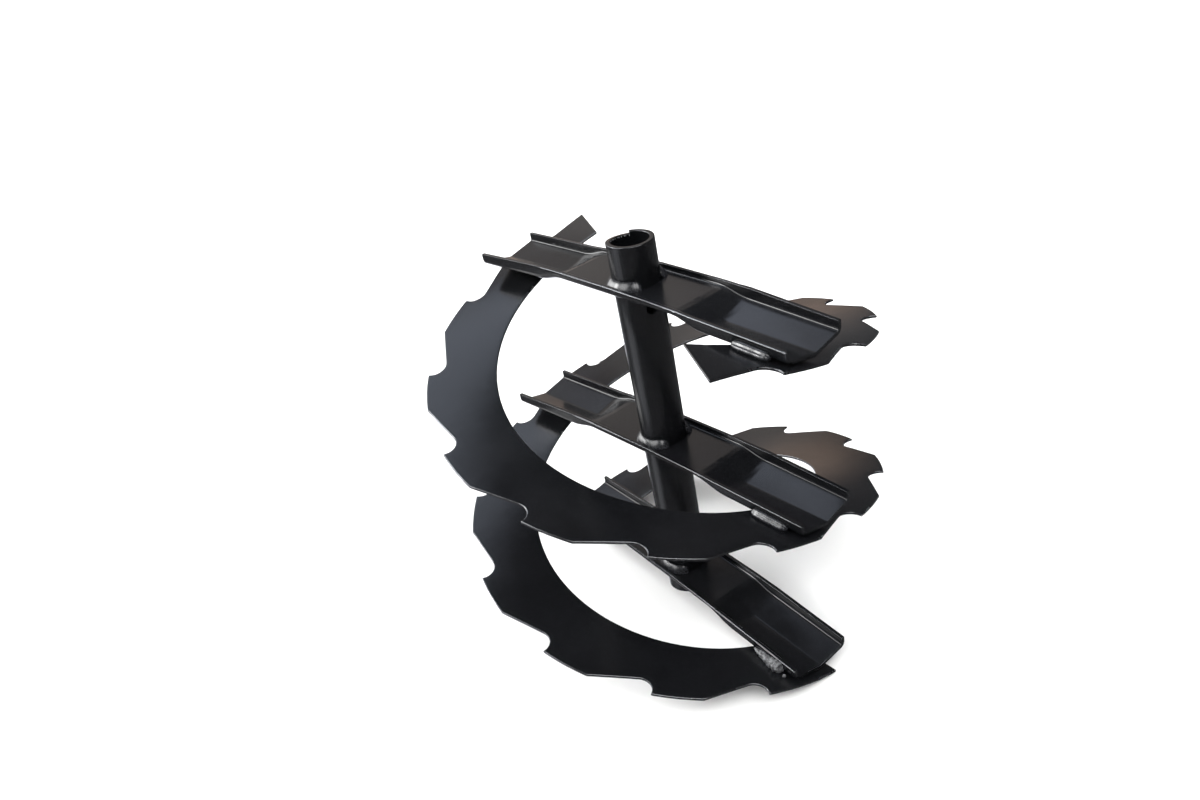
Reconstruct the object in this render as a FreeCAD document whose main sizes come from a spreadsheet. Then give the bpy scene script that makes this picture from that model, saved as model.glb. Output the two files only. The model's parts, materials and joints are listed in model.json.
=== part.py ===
import FreeCAD, Part
import Sketcher
import math
import os

# Snow blower auger: a welded steel rotor that carries two toothed ribbon flights.
# Millimetres. +Z runs up the tube axis, +X points along the middle arm, and z = 0 is
# the plane that the tube end and the two lower flight ends stand on.

Vector = FreeCAD.Vector
Rotation = FreeCAD.Rotation
Placement = FreeCAD.Placement
UP = Vector(0, 0, 1)

SIZE_ROWS = [
    ("tube_outer_radius", 15.9, "one and a quarter inch tube"),
    ("tube_bore_radius", 12.7, "takes a one inch shaft"),
    ("tube_length", 282.0, "whole length of the tube"),
    ("pin_hole_radius", 4.0, "cross hole for a shear pin"),
    ("pin_hole_level", 239.2, "height of the cross hole"),
    ("pin_hole_turn", -13.5, "direction of the cross hole, degrees from +X"),
    ("rim_step_depth", 1.8, "drop where the low stretch of the sawn upper rim starts"),
    ("rim_step_start", 141.0, "first direction of the low stretch, degrees"),
    ("rim_step_end", 228.0, "direction where the low stretch has risen to the rim, degrees"),
    ("flight_outer_radius", 152.4, "twelve inch cutting circle"),
    ("flight_inner_radius", 104.3, "smooth inner edge"),
    ("flight_thickness", 2.0, "sheet, measured along the axis"),
    ("flight_lead", 237.0, "rise of a flight in one turn"),
    ("right_first_angle", -27.5, "upper free end of the right flight, degrees"),
    ("left_first_angle", -25.3, "upper free end of the left flight, degrees"),
    ("flight_last_angle", 357.3, "lower free end of both flights, degrees"),
    ("tooth_pitch", 29.0, "angle from tooth tip to tooth tip"),
    ("tooth_first_tip", -11.4, "angle of the first tip after the upper end"),
    ("tooth_land", 12.9, "angle that stays on the cutting circle"),
    ("tooth_ramp", 12.2, "angle of the straight run down to the notch root"),
    ("tooth_depth", 10.9, "depth of the notch root below the cutting circle"),
    ("tooth_count", 13, "notches in one flight"),
    ("arm_half_length", 146.5, "half of the square-cut arm"),
    ("arm_half_width", 23.4, "half of the width over the flanges"),
    ("arm_thickness", 2.6, "pressed sheet"),
    ("arm_bend_radius", 2.0, "inside radius of the flange bends"),
    ("arm_crease_radius", 4.0, "inside radius of the trough crease"),
    ("arm_seat", 15.1, "flange tops at the arm end above the flight under them"),
    ("arm_step_start", 54.0, "where the flat middle ends"),
    ("arm_step_end", 80.0, "where the trough is fully formed"),
    ("arm_bottom_turn", -6.0, "turn of the bottom arm, degrees"),
    # Heights of an arm are measured from its flange tops at the arm end.
    ("middle_rise", 1.5, "flat middle"),
    ("middle_flange", 5.2, "flange tops at the tube"),
    ("tall_flange", 5.2, "tall flange top where the step starts"),
    ("low_flange", 3.9, "low flange top where the step starts"),
    ("step_tall_flange", 4.5, "tall flange top where the step ends"),
    ("step_low_flange", 2.7, "low flange top where the step ends"),
    ("step_tall_bend", 2.6, "depth of the bend under the tall flange where the step ends"),
    ("step_low_bend", 3.6, "depth of the bend under the low flange where the step ends"),
    ("step_crease", 9.0, "depth of the crease where the step ends"),
    ("end_bend", 5.8, "depth of both bends at the arm end"),
    ("end_crease", 10.6, "depth of the crease at the arm end"),
    ("weld_clearance", 0.1, "kept between a bead and what it joins"),
    ("tube_bead_leg", 4.6, "leg of the tube beads on the arm"),
    ("tube_bead_rise", 6.0, "leg of the tube beads on the tube"),
    ("tube_bead_bulge", 0.6, "share of both legs that the face of a tube bead reaches"),
    ("tube_bead_sweep", 120.0, "angle of one bead round the tube"),
    ("back_bead_start", 38.0, "direction where the back bead starts, degrees"),
    ("front_bead_start", 210.0, "direction where the front bead starts, degrees"),
    ("flight_bead_radius", 3.3, "beads between arms and flights"),
    ("flight_bead_start", 106.0, "inner end of a flight bead, from the axis"),
    ("flight_bead_end", 135.0, "outer end of a flight bead, from the axis"),
    ("flight_bead_sink", 0.75, "share of the flight thickness that a bead enters"),
    ("flight_bead_shift", 0.35, "share of the bead radius that its axis stands off the flange"),
]

ARM_STEP_SLICES = 5  # straight slices that follow the soft step of an arm
NOTCH_OVERREACH = 1.08  # a notch cutter ends this far outside the cutting circle
NOTCH_TALL = 3.0  # height of a notch cutter, in drops of the flight from tooth to tooth
NOTCH_BELOW = 2.4  # how much of that height is below the tooth tip

doc = FreeCAD.newDocument("snow_blower_auger")
sheet = doc.addObject("Spreadsheet::Sheet", "Sizes")
for row, (alias, value, note) in enumerate(SIZE_ROWS, start=1):
    sheet.set("A%d" % row, alias)
    sheet.set("B%d" % row, str(value))
    sheet.set("C%d" % row, note)
    sheet.setAlias("B%d" % row, alias)
doc.recompute()


def size(alias):
    """A driving dimension as the sheet holds it."""
    return float(sheet.get(alias))


def turned(angle, level=0.0):
    """A placement turned about the tube axis and lifted along it."""
    return Placement(Vector(0, 0, level), Rotation(UP, angle))


def plane(body, role):
    """One of a body's own origin planes or axes."""
    return [item for item in body.Origin.OriginFeatures if item.Role == role][0]


def new_sketch(body, role, name):
    sketch = body.newObject("Sketcher::SketchObject", name)
    sketch.AttachmentSupport = [(plane(body, role), "")]
    sketch.MapMode = "FlatFace"
    return sketch


def polygon(sketch, points):
    """Closed straight outline; returns the index of its first edge."""
    first = sketch.GeometryCount
    for start, end in zip(points, points[1:] + points[:1]):
        sketch.addGeometry(Part.LineSegment(Vector(*start, 0), Vector(*end, 0)), False)
    return first


def bound_circle(sketch, centre, radius_alias):
    index = sketch.addGeometry(Part.Circle(Vector(*centre, 0), UP, size(radius_alias)), False)
    place = sketch.addConstraint(Sketcher.Constraint("Radius", index, size(radius_alias)))
    sketch.setExpression("Constraints[%d]" % place, "Sizes." + radius_alias)
    return index


def flight_top(angle):
    """Height of the upper face of a flight at an angle from its own zero."""
    return size("flight_thickness") + size("flight_lead") * (size("flight_last_angle") - angle) / 360


ARM_ROWS = [
    ("top_arm", 0.0, flight_top(0.0)),
    ("middle_arm", 0.0, flight_top(180.0)),
    ("bottom_arm", size("arm_bottom_turn"), flight_top(360.0 + size("arm_bottom_turn"))),
]


def make_tube():
    body = doc.addObject("PartDesign::Body", "auger_tube")
    ring = new_sketch(body, "XY_Plane", "tube_ring")
    bound_circle(ring, (0, 0), "tube_outer_radius")
    bound_circle(ring, (0, 0), "tube_bore_radius")
    pad = body.newObject("PartDesign::Pad", "tube_pad")
    pad.Profile = ring
    pad.setExpression("Length", "Sizes.tube_length")
    doc.recompute()

    hole = new_sketch(body, "XZ_Plane", "pin_hole_outline")
    bound_circle(hole, (0, size("pin_hole_level")), "pin_hole_radius")
    pocket = body.newObject("PartDesign::Pocket", "pin_hole")
    pocket.Profile = hole
    pocket.Type = "ThroughAll"
    pocket.Midplane = True
    doc.recompute()

    # The body turns with the cross hole, so the rim step is drawn from that direction.
    body_turn = size("pin_hole_turn") - 90
    first = math.radians(size("rim_step_start") - body_turn)
    last = math.radians(size("rim_step_end") - body_turn)
    reach = 3 * size("tube_outer_radius")
    corners = [(0.0, 0.0)]
    corners += [(reach * math.cos(a), reach * math.sin(a)) for a in (first, last)]
    # The sketch is the floor of the cut: it tilts about the direction where it meets the rim.
    drop_share = size("rim_step_depth") / (size("tube_outer_radius") * math.sin(last - first))
    hinge = Vector(math.cos(last), math.sin(last), 0)
    step = new_sketch(body, "XY_Plane", "rim_step_floor")
    step.AttachmentOffset = Placement(Vector(), Rotation(hinge, math.degrees(math.asin(drop_share))))
    step.setExpression("AttachmentOffset.Base.z", "Sizes.tube_length")
    polygon(step, corners)
    cut = body.newObject("PartDesign::Pocket", "rim_step")
    cut.Profile = step
    cut.Reversed = True
    cut.setExpression("Length", "2 * Sizes.rim_step_depth")
    body.Placement = turned(body_turn)
    doc.recompute()
    return body


def rounded(before, corner, after, radius):
    """Tangent points of a bend and the middle of its arc; straight on if there is no bend."""
    into = (before - corner).normalize()
    out = (after - corner).normalize()
    half = into.getAngle(out) / 2
    if half > math.radians(89.5):
        return corner + into * radius, None, corner + out * radius
    reach = radius / math.tan(half)
    centre = corner + (into + out).normalize() * (radius / math.sin(half))
    middle = centre + (corner - centre).normalize() * radius
    return corner + into * reach, middle, corner + out * reach


def offset_corner(before, corner, after, thickness):
    """Corner of the lower face, the sheet's thickness away from both neighbours."""
    into = (corner - before).normalize()
    out = (after - corner).normalize()
    normal_in = Vector(into.y, -into.x, 0)
    normal_out = Vector(out.y, -out.x, 0)
    return corner + (normal_in + normal_out) * (thickness / (1 + normal_in.dot(normal_out)))


def arm_section(low_top, low_bend, crease, tall_bend, tall_top, mirrored):
    """Edges of one channel section, seen along the arm, with rounded bends."""
    thickness = size("arm_thickness")
    outer = size("arm_half_width")
    inner = outer - thickness
    upper = [
        Vector(-inner, low_top, 0),
        Vector(-inner, low_bend, 0),
        Vector(0, crease, 0),
        Vector(inner, tall_bend, 0),
        Vector(inner, tall_top, 0),
    ]
    lower = [Vector(-outer, low_top, 0)]
    for index in (1, 2, 3):
        lower.append(offset_corner(upper[index - 1], upper[index], upper[index + 1], thickness))
    lower.append(Vector(outer, tall_top, 0))
    radii = [size("arm_bend_radius"), size("arm_crease_radius"), size("arm_bend_radius")]

    def run(points, extra):
        pieces = []
        last = points[0]
        for index in (1, 2, 3):
            bend = rounded(points[index - 1], points[index], points[index + 1], radii[index - 1] + extra)
            pieces.append((last, None, bend[0]))
            pieces.append(bend)
            last = bend[2]
        pieces.append((last, None, points[4]))
        return pieces

    back = [(end, middle, start) for start, middle, end in reversed(run(lower, thickness))]
    pieces = run(upper, 0.0) + [(upper[4], None, lower[4])] + back + [(lower[0], None, upper[0])]
    edges = []
    for piece in pieces:
        start, middle, end = [Vector(-p.x if mirrored else p.x, p.y, 0) if p else None for p in piece]
        edges.append(Part.Arc(start, middle, end) if middle else Part.LineSegment(start, end))
    return edges


def arm_heights(along):
    """Low flange top, low bend, crease, tall bend and tall flange top at a distance from the tube axis."""
    floor = [size("middle_rise")] * 3
    middle = [size("middle_flange"), *floor, size("middle_flange")]
    flat = [size("low_flange"), *floor, size("tall_flange")]
    formed = [size("step_low_flange"), -size("step_low_bend"), -size("step_crease"),
              -size("step_tall_bend"), size("step_tall_flange")]
    end = [0.0, -size("end_bend"), -size("end_crease"), -size("end_bend"), 0.0]
    step_start = size("arm_step_start")
    step_end = size("arm_step_end")
    if along <= step_start:
        low, high, share = middle, flat, along / step_start
    elif along <= step_end:
        run = (along - step_start) / (step_end - step_start)
        low, high, share = flat, formed, run * run * (3 - 2 * run)
    else:
        low, high, share = formed, end, (along - step_end) / (size("arm_half_length") - step_end)
    return [a + (b - a) * share for a, b in zip(low, high)]


def make_arm(name, turn, level):
    """Pressed channel: flat middle, a soft step down each side, and a trough at each end."""
    body = doc.addObject("PartDesign::Body", name)
    rule = "(Sizes.arm_step_start + (Sizes.arm_step_end - Sizes.arm_step_start) * %d / %d)"
    step_width = size("arm_step_end") - size("arm_step_start")
    right_half = []
    for number in range(ARM_STEP_SLICES + 1):
        along = size("arm_step_start") + step_width * number / ARM_STEP_SLICES
        right_half.append((rule % (number, ARM_STEP_SLICES), along))
    right_half.append(("Sizes.arm_half_length", size("arm_half_length")))
    stations = [(-1, *row) for row in reversed(right_half)] + [(1, "0", 0.0)]
    stations += [(1, *row) for row in right_half]
    sections = []
    for number, (side, distance, along) in enumerate(stations):
        sketch = new_sketch(body, "YZ_Plane", "%s_section_%d" % (name, number))
        sketch.setExpression("AttachmentOffset.Base.z", "%d * %s" % (side, distance))
        sketch.addGeometry(arm_section(*arm_heights(along), side < 0), False)
        sections.append(sketch)
    doc.recompute()
    loft = body.newObject("PartDesign::AdditiveLoft", name + "_sheet")
    loft.Profile = sections[0]
    loft.Sections = sections[1:]
    loft.Ruled = True
    doc.recompute()

    hole = new_sketch(body, "XY_Plane", name + "_tube_hole")
    hole_radius = "Sizes.tube_outer_radius + Sizes.weld_clearance"
    index = bound_circle(hole, (0, 0), "tube_outer_radius")
    hole.setExpression("Constraints[%d]" % index, hole_radius)
    pocket = body.newObject("PartDesign::Pocket", name + "_hole")
    pocket.Profile = hole
    pocket.Type = "ThroughAll"
    pocket.Midplane = True
    body.Placement = turned(turn, level + size("arm_seat"))
    doc.recompute()
    return body


def notch_edges():
    """Plan of one notch: down the ramp, round the root and out along the next tip."""
    outer = size("flight_outer_radius")
    root_radius = outer - size("tooth_depth")
    root_angle = size("tooth_land") + size("tooth_ramp")

    def at(radius, angle):
        return Vector(radius * math.cos(math.radians(angle)), radius * math.sin(math.radians(angle)), 0)

    corner = at(outer, size("tooth_land"))
    root = at(root_radius, root_angle)
    tip = at(outer, size("tooth_pitch"))
    ramp = (root - corner).normalize()
    across = Vector(-ramp.y, ramp.x, 0)
    chord = tip - root
    side = across if across.dot(chord) > 0 else across * -1
    radius = chord.dot(chord) / (2 * chord.dot(side))
    centre = root + side * radius
    middle = centre + ((root + tip) * 0.5 - centre).normalize() * radius
    far = outer * NOTCH_OVERREACH
    outside = [tip, at(far, size("tooth_pitch")), at(far, size("tooth_land")), corner]
    edges = [Part.LineSegment(corner, root), Part.Arc(root, middle, tip)]
    edges += [Part.LineSegment(a, b) for a, b in zip(outside, outside[1:])]
    return edges


def make_flight(name, turn, first_angle):
    """Left-hand ribbon swept along a helix, with notches cut one by one down its edge."""
    body = doc.addObject("PartDesign::Body", name + "_ribbon")
    strip = new_sketch(body, "XZ_Plane", name + "_strip")
    inner = size("flight_inner_radius")
    outer = size("flight_outer_radius")
    thick = size("flight_thickness")
    polygon(strip, [(inner, 0.0), (outer, 0.0), (outer, thick), (inner, thick)])
    doc.recompute()
    ribbon = body.newObject("PartDesign::AdditiveHelix", name + "_helix")
    ribbon.Profile = strip
    ribbon.ReferenceAxis = (plane(body, "Z_Axis"), [""])
    ribbon.Mode = "pitch-height-angle"
    ribbon.setExpression("Pitch", "Sizes.flight_lead")
    ribbon.setExpression(
        "Height", "Sizes.flight_lead * (Sizes.flight_last_angle - Sizes.%s) / 360" % first_angle)
    ribbon.LeftHanded = True
    body.Placement = turned(turn + size("flight_last_angle"))
    doc.recompute()

    plan = doc.addObject("Sketcher::SketchObject", name + "_notch_plan")
    plan.addGeometry(notch_edges(), False)
    doc.recompute()
    notches = []
    fall = size("flight_lead") * size("tooth_pitch") / 360
    for number in range(-1, int(size("tooth_count")) - 1):
        tip_angle = size("tooth_first_tip") + number * size("tooth_pitch")
        notch = doc.addObject("Part::Extrusion", "%s_notch_%d" % (name, number + 1))
        notch.Base = plan
        notch.DirMode = "Custom"
        notch.Dir = UP
        notch.LengthFwd = NOTCH_TALL * fall
        notch.Solid = True
        notch.Placement = turned(turn + tip_angle, flight_top(tip_angle) - NOTCH_BELOW * fall)
        notches.append(notch)
    tools = doc.addObject("Part::Compound", name + "_notches")
    tools.Links = notches
    flight = doc.addObject("Part::Cut", name)
    flight.Base = body
    flight.Tool = tools
    doc.recompute()
    return flight


def make_tube_bead(name, arm_row, arm, first_angle):
    """Fillet bead on the flat middle of an arm, partly round the tube, fitted to the flange bend."""
    body = doc.addObject("PartDesign::Body", name + "_fillet")
    near = size("tube_outer_radius") + size("weld_clearance")
    low = size("weld_clearance")
    leg = size("tube_bead_leg")
    rise = size("tube_bead_rise")
    bulge_share = size("tube_bead_bulge")
    profile = new_sketch(body, "XZ_Plane", name + "_profile")
    start = Vector(near + leg, low, 0)
    end = Vector(near, low + rise, 0)
    bulge = Vector(near + bulge_share * leg, low + bulge_share * rise, 0)
    profile.addGeometry([
        Part.LineSegment(Vector(near, low, 0), start),
        Part.Arc(start, bulge, end),
        Part.LineSegment(end, Vector(near, low, 0)),
    ], False)
    turn = body.newObject("PartDesign::Revolution", name + "_turn")
    turn.Profile = profile
    turn.ReferenceAxis = (plane(body, "Z_Axis"), [""])
    turn.setExpression("Angle", "Sizes.tube_bead_sweep")
    level = arm_row[2] + size("arm_seat") + size("middle_rise")
    body.Placement = turned(arm_row[1] + first_angle, level)
    doc.recompute()
    bead = doc.addObject("Part::Cut", name)
    bead.Base = body
    bead.Tool = arm
    doc.recompute()
    return bead


def make_flight_bead(name, arm_row, arm, flight, end_turn):
    """Round-ended bead laid in the corner between an arm flange and the flight below it."""
    radius = size("flight_bead_radius")
    side = size("arm_half_width") + size("flight_bead_shift") * radius
    lift = radius - size("flight_bead_sink") * size("flight_thickness")
    ends = []
    for along in (size("flight_bead_start"), size("flight_bead_end")):
        fall = size("flight_lead") * math.degrees(math.atan2(-side, along)) / 360
        ends.append(Vector(along, -side, lift - fall))
    run = ends[1] - ends[0]
    body = doc.addObject("PartDesign::Body", name + "_rod")
    profile = new_sketch(body, "XZ_Plane", name + "_profile")
    length = run.Length
    tip = Vector(length - radius * (1 - math.sqrt(0.5)), radius * math.sqrt(0.5), 0)
    tail = Vector(radius * (1 - math.sqrt(0.5)), radius * math.sqrt(0.5), 0)
    profile.addGeometry([
        Part.LineSegment(Vector(0, 0, 0), Vector(length, 0, 0)),
        Part.Arc(Vector(length, 0, 0), tip, Vector(length - radius, radius, 0)),
        Part.LineSegment(Vector(length - radius, radius, 0), Vector(radius, radius, 0)),
        Part.Arc(Vector(radius, radius, 0), tail, Vector(0, 0, 0)),
    ], False)
    turn = body.newObject("PartDesign::Revolution", name + "_turn")
    turn.Profile = profile
    turn.ReferenceAxis = (plane(body, "X_Axis"), [""])
    turn.Angle = 360
    local = Placement(ends[0], Rotation(Vector(1, 0, 0), run))
    body.Placement = turned(arm_row[1] + end_turn, arm_row[2]).multiply(local)
    doc.recompute()
    joined = doc.addObject("Part::Compound", name + "_joined")
    joined.Links = [arm, flight]
    bead = doc.addObject("Part::Cut", name)
    bead.Base = body
    bead.Tool = joined
    doc.recompute()
    return bead


def make_all():
    parts = [make_tube()]
    right_flight = make_flight("right_flight", 0.0, "right_first_angle")
    left_flight = make_flight("left_flight", 180.0, "left_first_angle")
    parts += [right_flight, left_flight]
    for number, arm_row in enumerate(ARM_ROWS):
        name = arm_row[0]
        arm = make_arm(*arm_row)
        parts.append(arm)
        parts.append(make_tube_bead(name + "_back_bead", arm_row, arm, size("back_bead_start")))
        parts.append(make_tube_bead(name + "_front_bead", arm_row, arm, size("front_bead_start")))
        # The flights change sides at each arm, half a turn apart.
        on_right, on_left = (right_flight, left_flight) if number % 2 == 0 else (left_flight, right_flight)
        parts.append(make_flight_bead(name + "_right_bead", arm_row, arm, on_right, 0.0))
        parts.append(make_flight_bead(name + "_left_bead", arm_row, arm, on_left, 180.0))
    return parts


def check_and_write(parts):
    doc.recompute()
    for item in doc.Objects:
        if "Invalid" in item.State or "Error" in item.State:
            raise RuntimeError("%s is in state %s" % (item.Name, item.State))
    os.makedirs("parts", exist_ok=True)
    for item in parts:
        shape = item.Shape
        if shape.isNull() or not shape.isValid() or not shape.Solids:
            raise RuntimeError("%s has no valid solid" % item.Label)
        shape.exportStep("parts/%s.step" % item.Label)
        print(item.Label, len(shape.Solids), round(shape.Volume), shape.BoundBox)


check_and_write(make_all())
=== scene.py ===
import json
import math
import random

import bmesh
import bpy
import numpy as np
from bpy.props import FloatProperty, FloatVectorProperty, PointerProperty
from mathutils import Matrix, Vector, noise
from mathutils.bvhtree import BVHTree


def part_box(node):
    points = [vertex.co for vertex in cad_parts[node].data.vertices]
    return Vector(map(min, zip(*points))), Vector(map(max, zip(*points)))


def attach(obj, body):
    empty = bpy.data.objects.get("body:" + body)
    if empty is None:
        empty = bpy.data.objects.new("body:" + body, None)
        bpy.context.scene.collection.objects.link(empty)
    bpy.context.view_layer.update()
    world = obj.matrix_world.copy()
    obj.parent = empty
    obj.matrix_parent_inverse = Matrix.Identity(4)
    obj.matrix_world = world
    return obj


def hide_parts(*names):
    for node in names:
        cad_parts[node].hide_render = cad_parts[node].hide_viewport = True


bl_info = {
    "name": "Snow blower auger",
    "version": (1, 0, 0),
    "blender": (4, 5, 0),
    "location": "3D View > Sidebar > Auger",
    "description": "Paints a welded snow blower auger, breaks its edges and lays its weld beads",
    "category": "Object",
}

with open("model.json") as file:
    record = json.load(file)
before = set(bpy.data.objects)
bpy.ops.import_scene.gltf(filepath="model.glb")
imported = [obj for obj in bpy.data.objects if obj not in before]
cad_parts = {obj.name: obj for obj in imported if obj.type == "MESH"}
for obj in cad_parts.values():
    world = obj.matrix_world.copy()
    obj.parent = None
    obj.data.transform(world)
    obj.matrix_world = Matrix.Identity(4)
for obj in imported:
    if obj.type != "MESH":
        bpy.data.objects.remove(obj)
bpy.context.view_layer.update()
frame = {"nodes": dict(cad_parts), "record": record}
MM = 0.001
ARMS = ("top_arm", "middle_arm", "bottom_arm")
FLIGHTS = ("right_flight", "left_flight")

# Corners of a CAD copy that are nearer than this are one corner.
MERGE_DISTANCE = 0.01 * MM
# Faces that meet at more than this angle meet in a sheared or sawn edge. The pressed bends are softer.
SHEARED_ANGLE = math.radians(50)
# Shares of the rolled edge's round that the tube's rim and the flights get.
RIM_SHARE = 0.6
FLIGHT_SHARE = 0.8
# An arm's edges this near to its outer faces lie on the side where the shears went in.
OUTER_BAND = 1.3 * MM

# Cuts across the tube: in hole radii from the middle of the cross hole, and in millimetres below the rim.
HOLE_CUTS = (-3, -2, -1.4, 1.4, 2, 3)
RIM_CUTS = (3, 6)
BURR_PLACES = 48
BURR_SEED = 4
BURR_TIP = 0.1 * MM
# The rim counts as low where it lies this far below the tube's top.
LOW_RIM = 0.25 * MM

PROFILE_STEPS = 10
# Power of the fillet's outline: 1 is a full quarter round, 2 a flat face.
PROFILE_POWER = 1.6
SWEEP_STEPS = 110
# Angle that keeps a bead's first ring from counting as a whole turn.
SWEEP_MARGIN = 0.001
# Share of its size that a tube bead keeps at its ends, and the share by which the beads swell.
END_SHARE = 0.35
TUBE_BEAD_SWELL = 0.10
FLIGHT_BEAD_SWELL = 0.12
# Power of a flight bead's ends, which are blunter the higher it is, and depth of the groove in its face.
BLUNT_POWER = 5
GROOVE_SHARE = 0.09
STRAND_LENGTH = 2.0 * MM
# Place of the drop: sideways and down in bead radii, along the bead in half lengths.
DROP_PLACE = (0.5, 0.35, 1.21)

# Metres.
FLOOR_REACH = 30
BACKDROP_RADIUS = 12
BACKDROP_HEIGHT = 40
KEY_FROM = (-0.3, -0.1, 0.95)

# The photograph's size and optical centre in pixels.
PHOTO_SIZE = (1200, 800)
OPTICAL_CENTRE = (673.4, 482.2)
# Camera fitted to the auger's edges: turn, rise and roll in degrees, then its place in millimetres to its own
# right, up and back from a point on the tube axis, and the height of that point.
CAMERA_ANGLES = (-37.96, 34.58, -10.01)
CAMERA_PLACE = (6.3, -33.05, 691.82)
AXIS_POINT = 134.2
SENSOR_WIDTH = 36

# Lit patches of the studio: tone, strength, full and outer radius in degrees, direction from the auger.
GLOWS = (
    # Dim and broad, mirrored by flights, troughs and flat middles.
    ("e2ecff", 1.65, 6, 17, (-0.59, 0.17, 0.785)),
    ("fff4ec", 0.42, 8, 26, (-0.88, 0.36, 0.31)),
    ("fff4ec", 0.35, 4, 15, (-0.60, 0.55, 0.58)),
    ("ffd8bc", 0.46, 3, 13, (-0.76, 0.65, 0.00)),
    # Strong and small, for the thin lines on bends and edges and the shine on weld crowns.
    ("ffffff", 9.0, 1.5, 5.5, (-0.71, -0.05, 0.70)),
    ("ffffff", 18.0, 4, 13, (-0.65, -0.55, 0.49)),
    ("ffffff", 8.0, 4, 13, (-0.88, -0.35, 0.32)),
    ("ffffff", 4.0, 5, 15, (-0.98, -0.10, 0.15)),
    ("ffffff", 5.0, 6, 20, (-0.22, -0.68, 0.70)),
    ("ffffff", 5.0, 6, 18, (0.42, -0.35, 0.84)),
    ("ffffff", 5.0, 6, 18, (0.62, 0.05, 0.78)),
    # From below, for upright and overhanging faces.
    ("f4f6ff", 1.2, 5, 20, (-0.80, 0.25, -0.55)),
    ("f4f6ff", 0.9, 5, 24, (-0.45, -0.78, -0.42)),
)


def linear(hex_colour):
    """Linear RGBA from an sRGB hex value."""
    parts = [int(hex_colour[i:i + 2], 16) / 255 for i in (0, 2, 4)]
    return tuple(c / 12.92 if c <= 0.04045 else ((c + 0.055) / 1.055) ** 2.4 for c in parts) + (1.0,)


def colour_property(name, description, hex_colour):
    return FloatVectorProperty(name=name, description=description, size=4, min=0, max=1,
                               subtype="COLOR", default=linear(hex_colour))


def length_property(name, description, millimetres):
    return FloatProperty(name=name, description=description, default=millimetres * MM, unit="LENGTH")


class AugerPaintSettings(bpy.types.PropertyGroup):
    """Colours and textures of the paint."""
    paint: colour_property("Paint", "Satin black paint on the sheet steel", "0f1012")
    # The edge grey paints the highlight lines along the rounded edges of the arms and the tube.
    edge: colour_property("Edge", "Steel that shows on the edges of the arms and the tube", "5a5b5d")
    # The tooth grey paints brighter highlight lines along the rounded edges of the flights.
    tooth: colour_property("Tooth", "Steel that shows on the edges of the flights", "7c7d7f")
    weld: colour_property("Weld", "Paint over the weld beads", "232427")
    bare_weld: colour_property("Bare weld", "Coarse bead that the paint hardly covers", "58595b")
    # The burr grey paints the glints that the burrs catch in the bore.
    burr: colour_property("Burr", "Saw burrs that the paint hardly covers", "727375")
    peel: length_property("Orange peel", "Width of one ripple of the sprayed paint", 1.6)
    cloud: length_property("Sheen patches", "Width of the soft patches in the sheen", 45)
    grit: length_property("Weld grit", "Width of one grain on the welds", 1.4)


class AugerEdgeSettings(bpy.types.PropertyGroup):
    """How far the sheared edges are rounded."""
    rolled: length_property("Rolled edge", "Round on the side where the shears went in", 0.9)
    sharp: length_property("Sharp edge", "Break on the side where the shears came out", 0.25)
    burr: length_property("Burr", "Length of the saw burrs on the low stretch of the rim", 1.6)


class AugerWeldSettings(bpy.types.PropertyGroup):
    """Sizes of the weld beads."""
    swell: length_property("Swell", "Distance over which a bead grows thick and thin again", 8)
    bead_radius: length_property("Bead radius", "Radius of the beads between arms and flights", 3.4)
    drop: length_property("Drop", "Radius of the drop beyond the coarse bead", 1.3)


class AugerStageSettings(bpy.types.PropertyGroup):
    """Floor, lights and camera."""
    floor: colour_property("Floor", "Pale studio floor and backdrop", "f4f4f3")
    room_low: colour_property("Room below", "Room that the paint mirrors below the horizon", "6c6c6e")
    room_high: colour_property("Room above", "Room that the paint mirrors overhead", "2c2c2e")
    key: FloatProperty(name="Key light", description="Strength of the light from above", default=4.2)
    spread: FloatProperty(name="Key spread", description="Angle that the light from above fills",
                          default=math.radians(120), subtype="ANGLE")
    wall: FloatProperty(name="Backdrop light", description="Strength of the backdrop's glow", default=1.2)
    lens: FloatProperty(name="Lens", description="Focal length on a 36 mm sensor", default=29.1,
                        unit="CAMERA")


def add_node(tree, kind, inputs=None, **settings):
    """Adds a node, sets its properties, and fills or links its inputs."""
    node = tree.nodes.new(kind)
    for name, value in settings.items():
        setattr(node, name, value)
    for name, value in (inputs or {}).items():
        if isinstance(value, bpy.types.NodeSocket):
            tree.links.new(value, node.inputs[name])
        else:
            node.inputs[name].default_value = value
    return node


def new_material(name):
    """An empty node material's tree."""
    material = bpy.data.materials.new(name)
    material.use_nodes = True
    tree = material.node_tree
    tree.nodes.clear()
    return tree


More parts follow.
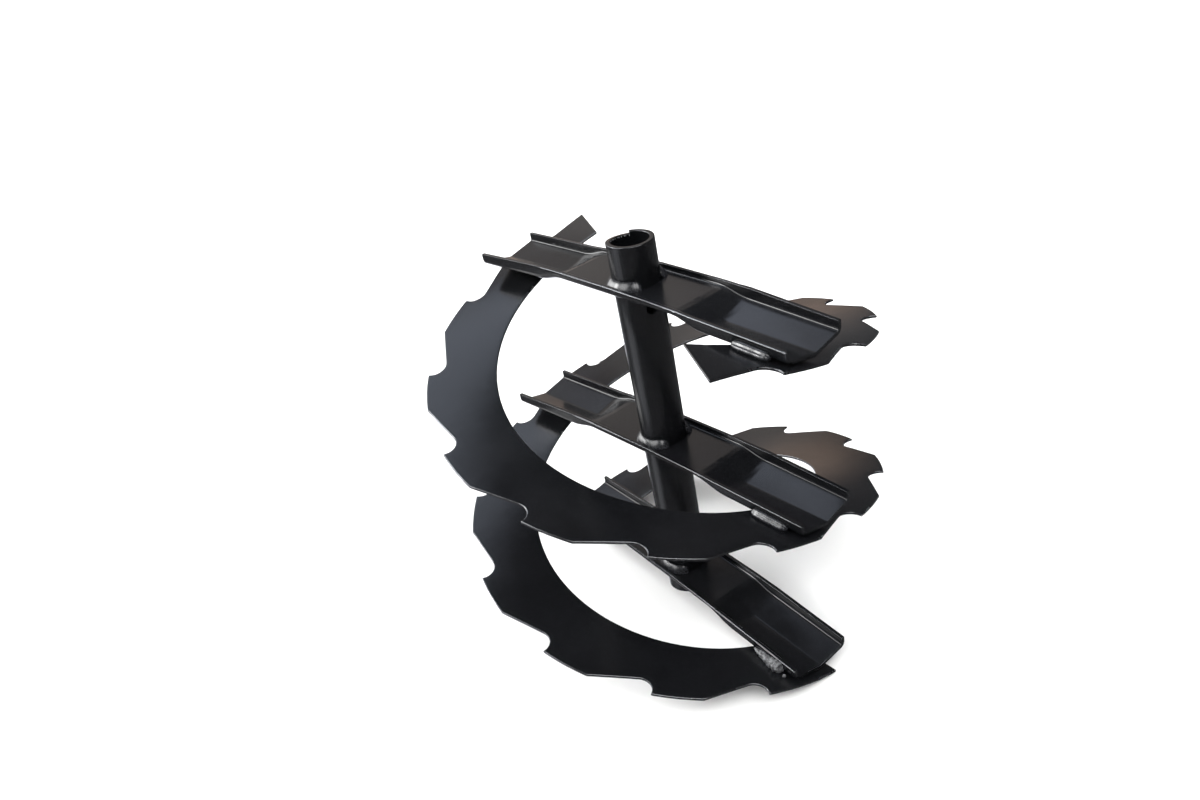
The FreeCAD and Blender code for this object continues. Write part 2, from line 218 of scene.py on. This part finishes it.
def painted_steel(name, colour, roughness, metallic=0.0):
    """Sprayed sheet steel, or the lighter metallic grey on edge rounds that paints their highlight lines:
    soft patchy sheen, fine orange peel.
    """
    settings = bpy.context.scene.auger_paint
    tree = new_material(name)
    place = add_node(tree, "ShaderNodeTexCoord")
    cloud = add_node(tree, "ShaderNodeTexNoise", {
        "Vector": place.outputs["Object"], "Scale": 1 / settings.cloud, "Detail": 5.0, "Roughness": 0.6})
    sheen = add_node(tree, "ShaderNodeMapRange", {
        "Value": cloud.outputs["Fac"], "From Min": 0.3, "From Max": 0.7,
        "To Min": roughness[0], "To Max": roughness[1]})
    peel = add_node(tree, "ShaderNodeTexNoise", {
        "Vector": place.outputs["Object"], "Scale": 1 / settings.peel, "Detail": 2.0})
    bump = add_node(tree, "ShaderNodeBump", {
        "Height": peel.outputs["Fac"], "Strength": 0.06, "Distance": 0.1 * MM})
    tint = add_node(tree, "ShaderNodeMapRange", {
        "Value": cloud.outputs["Fac"], "From Min": 0.35, "From Max": 0.7, "To Min": 0.85, "To Max": 1.25})
    base = add_node(tree, "ShaderNodeVectorMath", {0: colour[:3], "Scale": tint.outputs["Result"]},
                    operation="SCALE")
    shader = add_node(tree, "ShaderNodeBsdfPrincipled", {
        "Base Color": base.outputs["Vector"], "Roughness": sheen.outputs["Result"],
        "Normal": bump.outputs["Normal"], "Metallic": metallic})
    add_node(tree, "ShaderNodeOutputMaterial", {"Surface": shader.outputs["BSDF"]})


def painted_weld(name, colour, roughness, mottle):
    """Weld metal under a film of paint, or the light grey of the burrs that paints their glints: gritty and
    mottled, with a brighter shine on the crown.
    """
    settings = bpy.context.scene.auger_paint
    tree = new_material(name)
    place = add_node(tree, "ShaderNodeTexCoord")
    grit = add_node(tree, "ShaderNodeTexNoise", {
        "Vector": place.outputs["Object"], "Scale": 1 / settings.grit, "Detail": 4.0})
    bump = add_node(tree, "ShaderNodeBump", {
        "Height": grit.outputs["Fac"], "Strength": 0.1, "Distance": 0.15 * MM})
    tint = add_node(tree, "ShaderNodeMapRange", {
        "Value": grit.outputs["Fac"], "From Min": 0.35, "From Max": 0.65,
        "To Min": 1 - mottle, "To Max": 1 + mottle})
    base = add_node(tree, "ShaderNodeVectorMath", {0: colour[:3], "Scale": tint.outputs["Result"]},
                    operation="SCALE")
    shader = add_node(tree, "ShaderNodeBsdfPrincipled", {
        "Base Color": base.outputs["Vector"], "Roughness": roughness, "Normal": bump.outputs["Normal"],
        "IOR": 1.6})
    add_node(tree, "ShaderNodeOutputMaterial", {"Surface": shader.outputs["BSDF"]})


def new_object(name, builder, materials):
    """Puts a finished bmesh in the scene as an object at the origin."""
    mesh = bpy.data.meshes.new(name)
    builder.to_mesh(mesh)
    builder.free()
    for material in materials:
        mesh.materials.append(bpy.data.materials[material])
    thing = bpy.data.objects.new(name, mesh)
    bpy.context.scene.collection.objects.link(thing)
    return thing


def new_piece(name, builder, materials, node=None):
    """A piece of the auger, in place of a CAD node where one is named."""
    piece = new_object(name, builder, materials)
    polygons = piece.data.polygons
    polygons.foreach_set("use_smooth", [True] * len(polygons))
    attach(piece, "root")
    if node:
        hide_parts(node)
    return piece


def merged_copy(node):
    """A CAD node's loose triangles as one closed skin."""
    builder = bmesh.new()
    builder.from_mesh(frame["nodes"][node].data)
    bmesh.ops.remove_doubles(builder, verts=builder.verts, dist=MERGE_DISTANCE)
    return builder


def round_edges(builder, width_at):
    """Marks each sheared edge with the share of the rolled edge that its own round takes."""
    rolled = bpy.context.scene.auger_edges.rolled
    weight = builder.edges.layers.float.new("bevel_weight_edge")
    for edge in builder.edges:
        if len(edge.link_faces) == 2 and edge.calc_face_angle() > SHEARED_ANGLE:
            edge[weight] = width_at((edge.verts[0].co + edge.verts[1].co) / 2) / rolled


def painted_sheet(node, builder, edge):
    """A painted CAD piece with its marked edges rounded, so that they catch the light as real ones do."""
    piece = new_piece(node + "_painted", builder, ("satin_black_paint", edge), node)
    bevel = piece.modifiers.new("rolled_edges", "BEVEL")
    bevel.width = bpy.context.scene.auger_edges.rolled
    bevel.segments = 3
    bevel.limit_method = "WEIGHT"
    bevel.use_clamp_overlap = False
    # The round faces take the lighter edge grey, which paints a highlight line.
    bevel.material = 1
    normals = piece.modifiers.new("even_normals", "WEIGHTED_NORMAL")
    normals.keep_sharp = False


def node_points(node):
    """Vertices of a CAD node as an array, in metres."""
    mesh = frame["nodes"][node].data
    points = np.empty(len(mesh.vertices) * 3)
    mesh.vertices.foreach_get("co", points)
    return points.reshape(-1, 3)


def long_axis(points):
    """Unit vector along the greatest length of a cloud of points."""
    return np.linalg.svd(points - points.mean(axis=0), full_matrices=False)[2][0]


def mount(name):
    """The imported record's mount of that name."""
    return next(row for row in frame["record"]["mounts"] if row["name"] == name)


class AUGER_OT_materials(bpy.types.Operator):
    """Mix the paints"""
    bl_idname = "auger.materials"
    bl_label = "Paints"

    def execute(self, context):
        settings = context.scene.auger_paint
        # Black paint sprayed on sheet steel: deep black, with a soft and slightly patchy mirror.
        painted_steel("satin_black_paint", settings.paint, (0.16, 0.25))
        # Lighter metallic grey on the rounded sheared edges: a painted highlight line along each edge, which
        # the lights brighten further.
        painted_steel("edge_highlight_steel", settings.edge, (0.2, 0.3), metallic=1.0)
        # The same on the toothed flights, in a lighter grey that paints a brighter highlight line.
        painted_steel("tooth_highlight_steel", settings.tooth, (0.2, 0.3), metallic=1.0)
        # Weld metal under the paint: gritty black, with a sharp shine on its crown.
        painted_weld("painted_weld", settings.weld, 0.22, 0.4)
        # Weld metal that the paint hardly covers: dull and mottled grey.
        painted_weld("thinly_painted_weld", settings.bare_weld, 0.5, 0.8)
        # Light grey on the burrs, a painted glint: small grey ticks in the dark bore.
        painted_weld("burr_glint_grey", settings.burr, 0.4, 0.4)
        return {"FINISHED"}


class AUGER_OT_tube(bpy.types.Operator):
    """Paint the tube, round its edges and leave the saw burrs on its rim"""
    bl_idname = "auger.tube"
    bl_label = "Tube"

    def execute(self, context):
        settings = context.scene.auger_edges
        builder = merged_copy("auger_tube")
        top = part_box("auger_tube")[1][2]
        hole = mount("shear_pin_hole")
        level = hole["pos_m"][2]
        reach = hole["dims"]["r_mm"] * MM
        # Short faces round the hole and the rim keep their rounds from shading the whole tube.
        cuts = [level + reach * share for share in HOLE_CUTS]
        cuts += [top - depth * MM for depth in RIM_CUTS]
        for height in cuts:
            everything = builder.verts[:] + builder.edges[:] + builder.faces[:]
            bmesh.ops.bisect_plane(builder, geom=everything, dist=1e-7,
                                   plane_co=(0, 0, height), plane_no=(0, 0, 1))
        skin = BVHTree.FromBMesh(builder)
        at_rim = top - RIM_CUTS[0] * MM
        round_edges(builder, lambda spot: RIM_SHARE * settings.rolled if spot.z > at_rim else settings.sharp)
        painted_sheet("auger_tube", builder, "edge_highlight_steel")
        self.leave_burrs(skin, top, settings.burr)
        return {"FINISHED"}

    def leave_burrs(self, skin, top, length):
        """Slivers that the saw left where the rim is low, bent over into the bore."""
        chance = random.Random(BURR_SEED)
        bore = mount("shaft_bore")["dims"]["r_mm"] * MM
        up = Vector((0, 0, 1))
        down = Vector((0, 0, -1))
        builder = bmesh.new()
        for step in range(BURR_PLACES):
            angle = math.radians(360 * step / BURR_PLACES + chance.uniform(-2, 2))
            outward = Vector((math.cos(angle), math.sin(angle), 0))
            above = outward * (bore + 1 * MM) + Vector((0, 0, top + 1 * MM))
            rim = skin.ray_cast(above, down)[0]
            if rim is None or rim.z > top - LOW_RIM:
                continue
            long = length * chance.uniform(0.5, 1.0)
            lean = math.radians(chance.uniform(90, 150))
            bend = Matrix.Rotation(lean, 4, up.cross(-outward))
            root = outward * (bore + 0.3 * MM) + Vector((0, 0, rim.z - chance.uniform(0.5, 0.9) * MM))
            place = Matrix.Translation(root) @ bend @ Matrix.Translation((0, 0, long / 2))
            foot = long * chance.uniform(0.3, 0.45)
            bmesh.ops.create_cone(builder, cap_ends=True, segments=6, radius1=foot, radius2=BURR_TIP,
                                  depth=long, matrix=place)
        # The burrs' light grey paints their glints.
        new_piece("rim_burrs", builder, ("burr_glint_grey",))


class AUGER_OT_arms(bpy.types.Operator):
    """Paint the arms, with the outer edges of their flanges rolled by the shears"""
    bl_idname = "auger.arms"
    bl_label = "Arms"

    def execute(self, context):
        rolled = context.scene.auger_edges.rolled
        sharp = context.scene.auger_edges.sharp
        for node in ARMS:
            points = node_points(node)
            along = Vector(long_axis(points))
            across = Vector((-along.y, along.x, 0)).normalized()
            outer = np.abs(points @ np.array(across)).max() - OUTER_BAND
            builder = merged_copy(node)
            round_edges(builder, lambda spot: rolled if abs(spot.dot(across)) > outer else sharp)
            painted_sheet(node, builder, "edge_highlight_steel")
        return {"FINISHED"}


class AUGER_OT_flights(bpy.types.Operator):
    """Paint the toothed flights and round their edges a little"""
    bl_idname = "auger.flights"
    bl_label = "Flights"

    def execute(self, context):
        width = FLIGHT_SHARE * context.scene.auger_edges.rolled
        for node in FLIGHTS:
            builder = merged_copy(node)
            round_edges(builder, lambda spot: width)
            painted_sheet(node, builder, "tooth_highlight_steel")
        return {"FINISHED"}


class AUGER_OT_tube_beads(bpy.types.Operator):
    """Lay the fillet beads between the tube and the arms"""
    bl_idname = "auger.tube_beads"
    bl_label = "Tube beads"

    def execute(self, context):
        for arm in ARMS:
            for side in ("back", "front"):
                self.lay(arm + "_" + side + "_bead", context.scene.auger_weld)
        return {"FINISHED"}

    def lay(self, node, settings):
        """A fillet spun round the tube over the CAD bead's own arc, uneven and thin at its ends."""
        points = node_points(node)
        radii = np.hypot(points[:, 0], points[:, 1])
        middle = math.atan2(points[:, 1].mean(), points[:, 0].mean())
        spread = np.angle(np.exp(1j * (np.arctan2(points[:, 1], points[:, 0]) - middle)))
        sweep = spread.max() - spread.min()
        start = middle + spread.min()
        low = points[:, 2].min()
        radius = radii.min()
        leg = radii.max() - radius
        rise = points[:, 2].max() - low
        builder = bmesh.new()
        rim = [builder.verts.new((radius, 0, low))]
        for step in range(PROFILE_STEPS + 1):
            turn = math.radians(90 * step / PROFILE_STEPS)
            out = math.cos(turn) ** PROFILE_POWER
            up = math.sin(turn) ** PROFILE_POWER
            rim.append(builder.verts.new((radius + leg * out, 0, low + rise * up)))
        edges = [builder.edges.new(pair) for pair in zip(rim, rim[1:] + rim[:1])]
        bmesh.ops.rotate(builder, verts=rim, cent=(0, 0, 0), matrix=Matrix.Rotation(start, 3, "Z"))
        bmesh.ops.spin(builder, geom=rim + edges, cent=(0, 0, 0), axis=(0, 0, 1), dvec=(0, 0, 0),
                       angle=sweep, steps=SWEEP_STEPS, use_duplicate=False)
        length = sweep * radius
        for vert in builder.verts:
            turn = (math.atan2(vert.co.y, vert.co.x) - start + SWEEP_MARGIN) % (2 * math.pi)
            along = turn * radius
            end = max(0.0, min(1.0, along / leg, (length - along) / leg))
            size = END_SHARE + (1 - END_SHARE) * math.sqrt(end * (2 - end))
            swell = noise.noise((along / settings.swell, low / MM, 0))
            size += TUBE_BEAD_SWELL * swell - TUBE_BEAD_SWELL / 2
            root = Vector((vert.co.x, vert.co.y, 0)).normalized() * radius + Vector((0, 0, low))
            vert.co = root + (vert.co - root) * size
        bmesh.ops.holes_fill(builder, edges=[e for e in builder.edges if e.is_boundary])
        bmesh.ops.recalc_face_normals(builder, faces=builder.faces)
        new_piece(node + "_laid", builder, ("painted_weld",), node)


class AUGER_OT_flight_beads(bpy.types.Operator):
    """Lay the beads between the arm flanges and the flights"""
    bl_idname = "auger.flight_beads"
    bl_label = "Flight beads"

    def execute(self, context):
        for arm in ARMS:
            for side in ("right", "left"):
                coarse = arm == "bottom_arm" and side == "right"
                self.lay(arm + "_" + side + "_bead", context.scene.auger_weld, coarse)
        return {"FINISHED"}

    def lay(self, node, settings, coarse):
        """A blunt-ended bead along the CAD bead's own line, uneven in thickness."""
        points = node_points(node)
        centre = Vector(points.mean(axis=0))
        run = Vector(long_axis(points))
        if run.dot(centre) < 0:
            run.negate()
        reach = (points - np.array(centre)) @ np.array(run)
        half = (reach.max() - reach.min()) / 2
        radius = settings.bead_radius
        seed = sum(node.encode())
        builder = bmesh.new()
        bmesh.ops.create_uvsphere(builder, u_segments=36, v_segments=90, radius=1.0)
        for vert in builder.verts:
            z = vert.co.z
            ring = math.sqrt(max(0.0, 1 - abs(z) ** BLUNT_POWER))
            flat = Vector((vert.co.x, vert.co.y, 0))
            flat = flat.normalized() if flat.length > 1e-9 else flat
            along = z * half
            if coarse:
                thick = self.coarse_thickness(flat, along, z)
            else:
                thick = 1 + FLIGHT_BEAD_SWELL * noise.noise((along / settings.swell, seed, 0))
                # Two passes lie side by side, one up the flange and one along the flight.
                thick -= GROOVE_SHARE * math.cos(5 * (math.atan2(flat.y, flat.x) + math.radians(45)))
            vert.co = flat * radius * ring * thick + Vector((0, 0, along))
        if coarse:
            # A drop ran down to the flight beyond the outer end.
            sideways, below, beyond = DROP_PLACE
            drop = Matrix.Translation((sideways * radius, below * radius, beyond * half))
            bmesh.ops.create_icosphere(builder, subdivisions=3, radius=settings.drop, matrix=drop)
        side = run.cross((0, 0, 1)).normalized()
        down = run.cross(side)
        place = Matrix((side, down, run)).transposed().to_4x4()
        place.translation = centre
        bmesh.ops.transform(builder, matrix=place, verts=builder.verts)
        bmesh.ops.recalc_face_normals(builder, faces=builder.faces)
        paint = "thinly_painted_weld" if coarse else "painted_weld"
        new_piece(node + "_laid", builder, (paint,), node)

    def coarse_thickness(self, flat, along, share):
        """A bead laid too hot: a thin start that swells along its run and climbs the flange, in strands."""
        grown = (share + 1) / 2
        strand = Vector((0.8 * flat.x, 0.8 * flat.y, along / STRAND_LENGTH))
        lumps = 0.55 * noise.noise(strand) + 0.25 * noise.noise(strand * 2.3)
        climb = 1.4 * grown ** 2 * max(0.0, -flat.y)
        spread = 0.8 * grown * max(0.0, flat.x)
        return 0.35 + 0.5 * grown + climb + spread + lumps * (0.4 + 0.6 * grown)


class AUGER_OT_stage(bpy.types.Operator):
    """Set the floor, the lights, the surroundings and the camera"""
    bl_idname = "auger.stage"
    bl_label = "Stage"

    def execute(self, context):
        settings = context.scene.auger_stage
        self.floor(settings)
        self.backdrop(settings)
        self.key(context.scene, settings)
        self.surroundings(context.scene, settings)
        self.camera(context.scene, settings)
        return {"FINISHED"}

    def floor(self, settings):
        """A plain matt floor."""
        tree = new_material("pale_studio_floor")
        shader = add_node(tree, "ShaderNodeBsdfPrincipled", {
            "Base Color": settings.floor, "Roughness": 0.9})
        add_node(tree, "ShaderNodeOutputMaterial", {"Surface": shader.outputs["BSDF"]})
        builder = bmesh.new()
        bmesh.ops.create_grid(builder, x_segments=1, y_segments=1, size=FLOOR_REACH)
        floor = new_object("floor", builder, ("pale_studio_floor",))
        # The paint mirrors the dim room below the horizon, as it would on a dark stand.
        floor.visible_glossy = False

    def backdrop(self, settings):
        """A pale lit wall all round, seen by the camera alone, so that the floor has no dark horizon."""
        tree = new_material("pale_backdrop")
        shader = add_node(tree, "ShaderNodeEmission", {"Color": settings.floor, "Strength": settings.wall})
        add_node(tree, "ShaderNodeOutputMaterial", {"Surface": shader.outputs["Emission"]})
        builder = bmesh.new()
        bmesh.ops.create_cone(builder, cap_ends=False, segments=64, radius1=BACKDROP_RADIUS,
                              radius2=BACKDROP_RADIUS, depth=BACKDROP_HEIGHT)
        wall = new_object("backdrop", builder, ("pale_backdrop",))
        wall.visible_glossy = False
        wall.visible_diffuse = False
        wall.visible_shadow = False

    def key(self, scene, settings):
        """Light from the whole ceiling, so the paint shows no image of it."""
        data = bpy.data.lights.new("soft_key", "SUN")
        data.energy = settings.key
        data.angle = settings.spread
        key = bpy.data.objects.new("soft_key", data)
        scene.collection.objects.link(key)
        key.rotation_euler = Vector(KEY_FROM).to_track_quat("Z", "Y").to_euler()
        key.visible_glossy = False

    def surroundings(self, scene, settings):
        """A dim room with soft lit patches, which the paint mirrors as blurred fields."""
        world = bpy.data.worlds.new("dim_studio")
        world.use_nodes = True
        tree = world.node_tree
        tree.nodes.clear()
        place = add_node(tree, "ShaderNodeTexCoord")
        direction = place.outputs["Generated"]
        height = add_node(tree, "ShaderNodeSeparateXYZ", {"Vector": direction})
        share = add_node(tree, "ShaderNodeMapRange", {
            "Value": height.outputs["Z"], "From Min": -0.2, "From Max": 0.6})
        ramp = add_node(tree, "ShaderNodeValToRGB", {"Fac": share.outputs["Result"]})
        ramp.color_ramp.elements[0].color = settings.room_low
        ramp.color_ramp.elements[1].color = settings.room_high
        total = ramp.outputs["Color"]
        for tone, strength, inner, outer, aim in GLOWS:
            facing = add_node(tree, "ShaderNodeVectorMath", {0: direction, 1: Vector(aim).normalized()},
                              operation="DOT_PRODUCT")
            patch = add_node(tree, "ShaderNodeMapRange", {
                "Value": facing.outputs["Value"], "From Min": math.cos(math.radians(outer)),
                "From Max": math.cos(math.radians(inner)), "To Max": strength},
                interpolation_type="SMOOTHSTEP")
            light = add_node(tree, "ShaderNodeVectorMath", {
                0: linear(tone)[:3], "Scale": patch.outputs["Result"]}, operation="SCALE")
            total = add_node(tree, "ShaderNodeVectorMath", {0: total, 1: light.outputs["Vector"]},
                             operation="ADD").outputs["Vector"]
        background = add_node(tree, "ShaderNodeBackground", {"Color": total, "Strength": 1.0})
        add_node(tree, "ShaderNodeOutputWorld", {"Surface": background.outputs["Background"]})
        scene.world = world

    def camera(self, scene, settings):
        """The photograph's viewpoint: a wide lens held a little tilted, looking down."""
        turn, rise, roll = [math.radians(angle) for angle in CAMERA_ANGLES]
        back = Vector((math.cos(turn) * math.cos(rise), math.sin(turn) * math.cos(rise), math.sin(rise)))
        level = Vector((-math.sin(turn), math.cos(turn), 0))
        upright = back.cross(level)
        right = level * math.cos(roll) + upright * math.sin(roll)
        up = upright * math.cos(roll) - level * math.sin(roll)
        to_right, to_up, to_back = CAMERA_PLACE
        spot = right * to_right + up * to_up + back * to_back + Vector((0, 0, AXIS_POINT))
        data = bpy.data.cameras.new("photo_view")
        data.sensor_width = SENSOR_WIDTH
        data.lens = settings.lens
        data.shift_x = (PHOTO_SIZE[0] / 2 - OPTICAL_CENTRE[0]) / PHOTO_SIZE[0]
        data.shift_y = (OPTICAL_CENTRE[1] - PHOTO_SIZE[1] / 2) / PHOTO_SIZE[0]
        data.clip_start = 0.05
        data.clip_end = 100
        camera = bpy.data.objects.new("photo_view", data)
        scene.collection.objects.link(camera)
        turned = Matrix((right, up, back)).transposed().to_4x4()
        camera.matrix_world = Matrix.Translation(spot * MM) @ turned
        scene.camera = camera
        scene.view_settings.view_transform = "Standard"


class AUGER_PT_panel(bpy.types.Panel):
    """Settings of the auger and the steps that finish it"""
    bl_idname = "AUGER_PT_panel"
    bl_label = "Snow blower auger"
    bl_space_type = "VIEW_3D"
    bl_region_type = "UI"
    bl_category = "Auger"

    def draw(self, context):
        for name, group in GROUPS:
            for setting in group.__annotations__:
                self.layout.prop(getattr(context.scene, name), setting)
        for step in STEPS:
            self.layout.operator(step.bl_idname)


STEPS = (
    AUGER_OT_materials,
    AUGER_OT_tube,
    AUGER_OT_arms,
    AUGER_OT_flights,
    AUGER_OT_tube_beads,
    AUGER_OT_flight_beads,
    AUGER_OT_stage,
)
GROUPS = (
    ("auger_paint", AugerPaintSettings),
    ("auger_edges", AugerEdgeSettings),
    ("auger_weld", AugerWeldSettings),
    ("auger_stage", AugerStageSettings),
)


def register():
    for name, group in GROUPS:
        bpy.utils.register_class(group)
        setattr(bpy.types.Scene, name, PointerProperty(type=group))
    for step in STEPS:
        bpy.utils.register_class(step)
    bpy.utils.register_class(AUGER_PT_panel)


def unregister():
    bpy.utils.unregister_class(AUGER_PT_panel)
    for step in reversed(STEPS):
        bpy.utils.unregister_class(step)
    for name, group in reversed(GROUPS):
        delattr(bpy.types.Scene, name)
        bpy.utils.unregister_class(group)


def main():
    register()
    bpy.ops.auger.materials()
    bpy.ops.auger.tube()
    bpy.ops.auger.arms()
    bpy.ops.auger.flights()
    bpy.ops.auger.tube_beads()
    bpy.ops.auger.flight_beads()
    bpy.ops.auger.stage()


if __name__ == "__main__":
    main()
